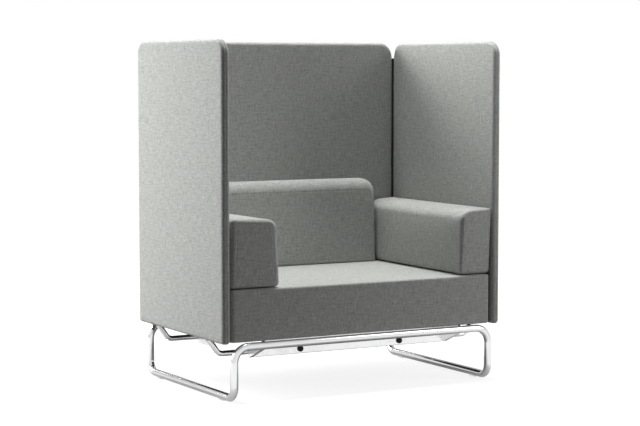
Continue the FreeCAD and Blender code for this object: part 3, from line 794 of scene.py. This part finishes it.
# %% Hood panels
PANEL_TOP_CORNER = 0.058
PANEL_TOP_STEPS = 9
PANEL_FOOT_CORNER = 0.014
PANEL_FOOT_STEPS = 4
PANEL_RIM = 0.0145
PANEL_RIM_STEPS = 6
PANEL_JOINT_RIM = 0.007
PANEL_FULLNESS = {"left": 0.005, "right": 0.007, "rear": 0.005}
PANEL_SETBACK = {"left": 0.0, "right": 0.003, "rear": 0.0}
PANEL_TOP_FULLNESS = 0.002
PANEL_CELL = 0.024


def hood_panel(side_name, thin, outward):
    """A padded panel. thin is the axis across its thickness, outward the way it faces."""
    low, high = (Vector(corner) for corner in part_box(side_name + "_panel_cover"))
    wide = 1 - thin
    (high if outward > 0 else low)[thin] += outward * PANEL_FULLNESS[side_name]
    (low if outward > 0 else high)[thin] += outward * PANEL_SETBACK[side_name]
    high.z += PANEL_TOP_FULLNESS
    inner = low[thin] if outward > 0 else high[thin]
    piece = box_piece(side_name + "_panel", low, high)
    begin(piece)
    round_off(piece, PANEL_TOP_CORNER, PANEL_TOP_STEPS,
              lambda e: along_axis(e, thin) and e.verts[0].co.z > high.z - CLOSE)
    round_off(piece, PANEL_FOOT_CORNER, PANEL_FOOT_STEPS,
              lambda e: along_axis(e, thin) and e.verts[0].co.z < low.z + CLOSE)
    end()

    def radius_of(first, second):
        middle = (first + second) / 2
        if runs_along(first, second, thin):
            return 0.0
        joint = middle.y > high.y - CLOSE if thin == 0 else abs(abs(middle.x) - high.x) < CLOSE
        return PANEL_JOINT_RIM if joint and abs(middle[thin] - inner) < CLOSE else PANEL_RIM

    round_by_weight(piece, PANEL_RIM, PANEL_RIM_STEPS, radius_of)
    begin(piece)
    seam_round_rim(piece, thin, (low[thin] + high[thin]) / 2)
    for axis in (wide, 2):
        cut_rows(piece, axis, low[axis] + PANEL_TOP_CORNER, high[axis] - PANEL_TOP_CORNER, PANEL_CELL)
    keep(piece)


hood_panel("left", 0, -1)
hood_panel("right", 0, 1)
hood_panel("rear", 1, 1)

# %% [markdown]
# The seat is one broad block. Its cloth is drawn round the upright corners and over the top,
# and under the frame it ends in a stapled hem. The inside of that hem is set back,
# so that the black cloth underneath lies in it.
# A voxel remesh would even out the mesh, but it would melt the seam and the hem,
# so the box keeps its own faces and gets rows of cuts instead.

# %% Seat block
SIDE_FULLNESS = {"left": -0.001, "right": 0.0025}
SEAT_UPRIGHT = {"left": 0.020, "right": 0.016}
SEAT_UPRIGHT_STEPS = 6
SEAT_TOP_RIM = 0.009
SEAT_TOP_STEPS = 5
SEAT_FOOT_RIM = 0.008
SEAT_FOOT_STEPS = 4
SEAT_HEM = 0.0202
SEAT_HEM_EDGE = 0.0006
SEAT_HEM_RISE = 0.0016
SEAT_CELL = 0.020


def seat_block():
    low, high = (Vector(corner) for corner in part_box("seat_cover"))
    low.x -= SIDE_FULLNESS["left"]
    high.x += SIDE_FULLNESS["right"]
    piece = box_piece("seat", low, high)
    begin(piece)
    for side_name, sign in (("left", -1), ("right", 1)):
        round_off(piece, SEAT_UPRIGHT[side_name], SEAT_UPRIGHT_STEPS,
                  lambda e: along_axis(e, 2) and e.verts[0].co.x * sign > 0)
    round_off(piece, SEAT_TOP_RIM, SEAT_TOP_STEPS, lambda e: on_plane(e, 2, high.z))
    round_off(piece, SEAT_FOOT_RIM, SEAT_FOOT_STEPS, lambda e: on_plane(e, 2, low.z))
    choose(piece, "FACE", lambda f: f.normal.z < -0.99)
    bpy.ops.mesh.inset(thickness=SEAT_HEM - SEAT_FOOT_RIM, depth=0)
    bpy.ops.mesh.inset(thickness=SEAT_HEM_EDGE, depth=-SEAT_HEM_RISE)
    sew_round(piece, lambda f: f.normal.z > 0.99)
    cut_rows(piece, 0, low.x + SEAT_UPRIGHT["left"], high.x - SEAT_UPRIGHT["right"], SEAT_CELL)
    cut_rows(piece, 1, low.y + SEAT_HEM, high.y - SEAT_HEM, SEAT_CELL)
    cut_rows(piece, 2, low.z + SEAT_HEM, high.z - SEAT_TOP_RIM, SEAT_CELL)
    keep(piece)


seat_block()

# %% [markdown]
# An arm is a block whose inner side slopes and whose top falls a little towards the sitter.
# The long inner edge on top is a big soft round, and the other edges are tighter,
# because the cloth is sewn there round a flat front piece.
# The two arms aren't mirror images: the right one spreads at its front and has crisper edges.
# So one function takes the side and looks up each arm's own measures.

# %% Measures of the arms
ARM_SIDE_TAPER = 0.015
ARM_TOP_FALL = 0.008
ARM_FRONT_LEAN = 0.012
ARM_LIFT = 0.003
ARM_FRONT_SPREAD = {"left": 0.003, "right": 0.013}
ARM_BROW_SPREAD = {"left": 0.0, "right": 0.015}
ARM_INNER_ROUND = 0.040
ARM_INNER_STEPS = 8
ARM_FRONT_ROUND = 0.010
ARM_UPRIGHT_ROUND = {"left": 0.017, "right": 0.010}
ARM_BACK_ROUND = 0.008
ARM_OUTER_ROUND = {"left": 0.022, "right": 0.006}
ARM_FOOT_ROUND = 0.016
ARM_EDGE_STEPS = 4
ARM_CELL = 0.018
FRONT_REACH = 0.02
ABOVE_FOOT = 0.05
print("inner round of the arms", ARM_INNER_ROUND * 1000, "mm")

# %% [markdown]
# The block is pushed to its taper first, while it has only eight corners to move.
# The big round comes next, by itself, and the other edges follow with their own radii,
# which grow from the front's radius at the brow to the upright's radius below the round.

# %% Arm blocks
def tapered_block(side_name, side, low, high, inner):
    """The arm's block before its edges are rounded, in edit mode."""
    piece = box_piece(side_name + "_arm", low, high)
    begin(piece)
    push(piece, lambda v: abs(v.co.x - inner) < CLOSE and v.co.z > high.z - CLOSE,
         (side * ARM_SIDE_TAPER, 0, -ARM_TOP_FALL))
    push(piece, lambda v: v.co.y < low.y + CLOSE and v.co.z < low.z + CLOSE, (0, ARM_FRONT_LEAN, 0))
    for floor_height, spread in ((low.z - CLOSE, ARM_FRONT_SPREAD), (low.z + ABOVE_FOOT, ARM_BROW_SPREAD)):
        push(piece, lambda v: v.co.y < low.y + FRONT_REACH and abs(v.co.x - inner) < FRONT_REACH
             and v.co.z > floor_height, (-side * spread[side_name], 0, 0))
    return piece


def arm_block(side_name, side):
    """side is -1 for the left arm and 1 for the right one."""
    low, high = (Vector(corner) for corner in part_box(side_name + "_arm_cover"))
    (high if side > 0 else low).x += side * SIDE_FULLNESS[side_name]
    low.z += ARM_LIFT
    inner, outer = (low.x, high.x) if side > 0 else (high.x, low.x)
    brow = high.z - ARM_TOP_FALL
    round_top = brow - ARM_INNER_ROUND
    upright = ARM_UPRIGHT_ROUND[side_name]
    outer_round = ARM_OUTER_ROUND[side_name]
    piece = tapered_block(side_name, side, low, high, inner)
    round_off(piece, ARM_INNER_ROUND, ARM_INNER_STEPS,
              lambda e: along_axis(e, 1) and abs(e.verts[0].co.x - inner) < FRONT_REACH
              and abs(e.verts[0].co.z - brow) < CLOSE)
    end()

    def radius_of(first, second):
        middle = (first + second) / 2
        at_foot = middle.z < low.z + CLOSE
        at_outer = abs(middle.x - outer) < CLOSE
        if runs_along(first, second, 1):
            return ARM_FOOT_ROUND if at_foot else outer_round if at_outer else 0.0
        if middle.y > high.y - CLOSE:
            return ARM_BACK_ROUND
        if at_outer:
            return outer_round
        if at_foot:
            return ARM_FOOT_ROUND
        climb = min(max((middle.z - round_top) / ARM_INNER_ROUND, 0.0), 1.0)
        return upright + (ARM_FRONT_ROUND - upright) * climb

    round_by_weight(piece, max(upright, outer_round, ARM_FOOT_ROUND), ARM_EDGE_STEPS, radius_of)
    begin(piece)
    sew_round(piece, flat_front)
    inside = sorted((inner + side * (ARM_SIDE_TAPER + ARM_INNER_ROUND), outer - side * ARM_FOOT_ROUND))
    cut_rows(piece, 0, inside[0], inside[1], ARM_CELL)
    cut_rows(piece, 1, low.y + upright + ARM_FRONT_LEAN, high.y - ARM_BACK_ROUND, ARM_CELL)
    cut_rows(piece, 2, low.z + ARM_FOOT_ROUND, round_top, ARM_CELL)
    keep(piece)


arm_block("left", -1)
arm_block("right", 1)

# %% [markdown]
# The back cushion is thicker at its foot than at its head, so that it leans behind the sitter.
# Its two upper corners are round in front view, and the whole front rim is soft, softest on top.
# A rounded outline pushed back to a wedge could give that too, but a wedge pushed from a box
# keeps the rear face flat against the panel.

# %% Back cushion
BACK_LEAN = 0.018
BACK_CORNER = 0.055
BACK_CORNER_STEPS = 8
BACK_TOP_ROUND = 0.044
BACK_SIDE_ROUND = 0.026
BACK_FOOT_ROUND = 0.010
BACK_REAR_ROUND = 0.009
BACK_EDGE_STEPS = 6
BACK_CELL = 0.018


def back_cushion():
    low, high = (Vector(corner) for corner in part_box("back_cover"))
    piece = box_piece("back", low, high)
    begin(piece)
    push(piece, lambda v: v.co.y < low.y + CLOSE and v.co.z > high.z - CLOSE, (0, BACK_LEAN, 0))
    round_off(piece, BACK_CORNER, BACK_CORNER_STEPS,
              lambda e: along_axis(e, 1) and e.verts[0].co.z > high.z - CLOSE)
    end()

    def radius_of(first, second):
        middle = (first + second) / 2
        at_foot = middle.z < low.z + CLOSE
        if runs_along(first, second, 1):
            return BACK_FOOT_ROUND if at_foot else 0.0
        if middle.y > high.y - CLOSE:
            return BACK_REAR_ROUND
        if at_foot:
            return BACK_FOOT_ROUND
        climb = max((middle.z - (high.z - BACK_CORNER)) / BACK_CORNER, 0.0)
        return BACK_SIDE_ROUND + (BACK_TOP_ROUND - BACK_SIDE_ROUND) * climb

    round_by_weight(piece, BACK_TOP_ROUND, BACK_EDGE_STEPS, radius_of)
    begin(piece)
    sew_round(piece, flat_front)
    cut_rows(piece, 0, low.x + BACK_CORNER, high.x - BACK_CORNER, BACK_CELL)
    cut_rows(piece, 2, low.z + BACK_FOOT_ROUND, high.z - BACK_CORNER, BACK_CELL)
    cut_rows(piece, 1, low.y + BACK_LEAN + BACK_TOP_ROUND, high.y - BACK_REAR_ROUND, BACK_CELL)
    keep(piece)


back_cushion()

# %% [markdown]
# Real upholstery is stuffed a little too full, so each face swells between its seams.
# The swelling could be drawn with a formula, but a formula knows nothing of seams and corners.
# The cloth solver does: the cover is pumped up from inside while some of it is held.
# Held are the seams, the hem, the sides that touch a neighbour,
# and the part of the seat's top that the arms and the back press on.

# %% What swells, what is held
DIRECTIONS = {"left": (0, -1), "right": (0, 1), "front": (1, -1), "rear": (1, 1), "top": (2, 1)}
SWELL = {
    "left_panel": {"left": 0.0022, "right": 0.0015},
    "right_panel": {"left": 0.0015, "right": 0.0022},
    "rear_panel": {"front": 0.0015, "rear": 0.0022},
    "seat": {"top": 0.007, "front": 0.006},
    "left_arm": {"right": 0.005, "top": 0.004, "front": 0.004},
    "right_arm": {"left": 0.005, "top": 0.004, "front": 0.004},
    "back": {"front": 0.008, "top": 0.004, "left": 0.0015, "right": 0.0015},
}
PRESSED_BY = {"seat": ("left_arm_cover", "right_arm_cover", "back_cover")}
PRESSED_REACH = 0.012
FACES_AWAY = 0.25
FACES_UP = 0.5


def facing(normal, direction):
    axis, sign = DIRECTIONS[direction]
    return max(normal[axis] * sign, 0.0)


def pressed(place, neighbours):
    """True for a place that lies under a neighbour."""
    return any(all(low[i] - PRESSED_REACH < place[i] < high[i] + PRESSED_REACH for i in (0, 1))
               for low, high in neighbours)


def hold_still(piece, swell, neighbours):
    """Holds all that faces a way in which the piece doesn't swell, and all that a neighbour presses on."""
    group = piece.vertex_groups.get("held") or piece.vertex_groups.new(name="held")
    fixed = [v.index for v in piece.data.vertices
             if sum(facing(v.normal, name) ** 2 for name in swell) < FACES_AWAY
             or (v.normal.z > FACES_UP and pressed(v.co, neighbours))]
    group.add(fixed, 1.0, "REPLACE")


print(len(SWELL), "covers to stuff")

# %% [markdown]
# Foam on a board swells far less than a balloon. The pressure could be tuned by trial until
# each face swells just so much, but scaling the result afterwards is surer:
# each direction has its own greatest height, and the shape in between is the solver's.
# A slow ripple breaks the perfect curve.

# %% Stuff the covers
STUFFING_FRAMES = 20
STUFFING = {
    "quality": 4,
    "mass": 0.3,
    "tension_stiffness": 12,
    "compression_stiffness": 12,
    "shear_stiffness": 5,
    "bending_stiffness": 0.8,
    "use_pressure": True,
    "uniform_pressure_force": 4.0,
    "vertex_group_mass": "held",
}
SMALLEST_SWELL = 0.0004
RIPPLE = 0.0004
RIPPLE_SIZE = 0.11
FULL_RIPPLE_MOVE = 0.004


def start_stuffing(piece):
    cloth = piece.modifiers.new("stuffing", "CLOTH")
    for name, value in STUFFING.items():
        setattr(cloth.settings, name, value)
    cloth.settings.effector_weights.gravity = 0
    cloth.collision_settings.use_collision = False
    cloth.point_cache.frame_start = 1
    cloth.point_cache.frame_end = STUFFING_FRAMES


def take_shape(piece, swell):
    """Applies the solver's shape, scaled to the wanted swelling in each direction."""
    rest = [v.co.copy() for v in piece.data.vertices]
    normals = [v.normal.copy() for v in piece.data.vertices]
    bpy.context.view_layer.objects.active = piece
    bpy.ops.object.modifier_apply(modifier="stuffing")
    moves = [v.co - old for v, old in zip(piece.data.vertices, rest)]
    peaks = {}
    for name in swell:
        axis, sign = DIRECTIONS[name]
        swollen = [move[axis] * sign for move, normal in zip(moves, normals) if facing(normal, name) > 0.9]
        peaks[name] = max(swollen + [SMALLEST_SWELL])
    for v, old, move, normal in zip(piece.data.vertices, rest, moves, normals):
        factor = sum(facing(normal, name) ** 2 * swell[name] / peaks[name] for name in swell)
        ripple = noise.noise(old / RIPPLE_SIZE) * RIPPLE * min(move.length / FULL_RIPPLE_MOVE, 1.0)
        v.co = old + move * min(factor, 1.0) + normal * ripple
    print(piece.name, "swells", {name: round(swell[name] * 1000, 1) for name in swell}, "mm")


for name, piece in pieces.items():
    hold_still(piece, SWELL[name], [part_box(node) for node in PRESSED_BY.get(name, ())])
    start_stuffing(piece)
for step in range(1, STUFFING_FRAMES + 1):
    scene.frame_set(step)
for name, piece in pieces.items():
    take_shape(piece, SWELL[name])
scene.frame_set(1)

# %% [markdown]
# One step of subdivision turns the rows of flat cells into a smooth swelling cloth.
# More steps would only add faces that the weave hides.
# Then the weave is laid on. Unwrapping along the seams would turn it a little on each face,
# so a box projection of one metre per unit keeps the threads upright
# and the same size on every piece, as an upholsterer would cut them.

# %% Smooth the covers and lay the weave
SUBDIVISION_STEPS = 1
METRES_PER_UV = 1.0

for name, piece in pieces.items():
    piece.vertex_groups.clear()
    bpy.context.view_layer.objects.active = piece
    smoother = piece.modifiers.new("smoother", "SUBSURF")
    smoother.levels = SUBDIVISION_STEPS
    smoother.render_levels = SUBDIVISION_STEPS
    bpy.ops.object.modifier_apply(modifier="smoother")
    piece.data.materials.append(fabric)
    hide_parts(name + "_cover", name + "_foam")
    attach(piece, "root")
    begin(piece)
    bpy.ops.mesh.select_all(action="SELECT")
    bpy.ops.uv.cube_project(cube_size=METRES_PER_UV)
    end()
    for polygon in piece.data.polygons:
        polygon.use_smooth = True
    print(name, "has", len(piece.data.polygons), "faces")
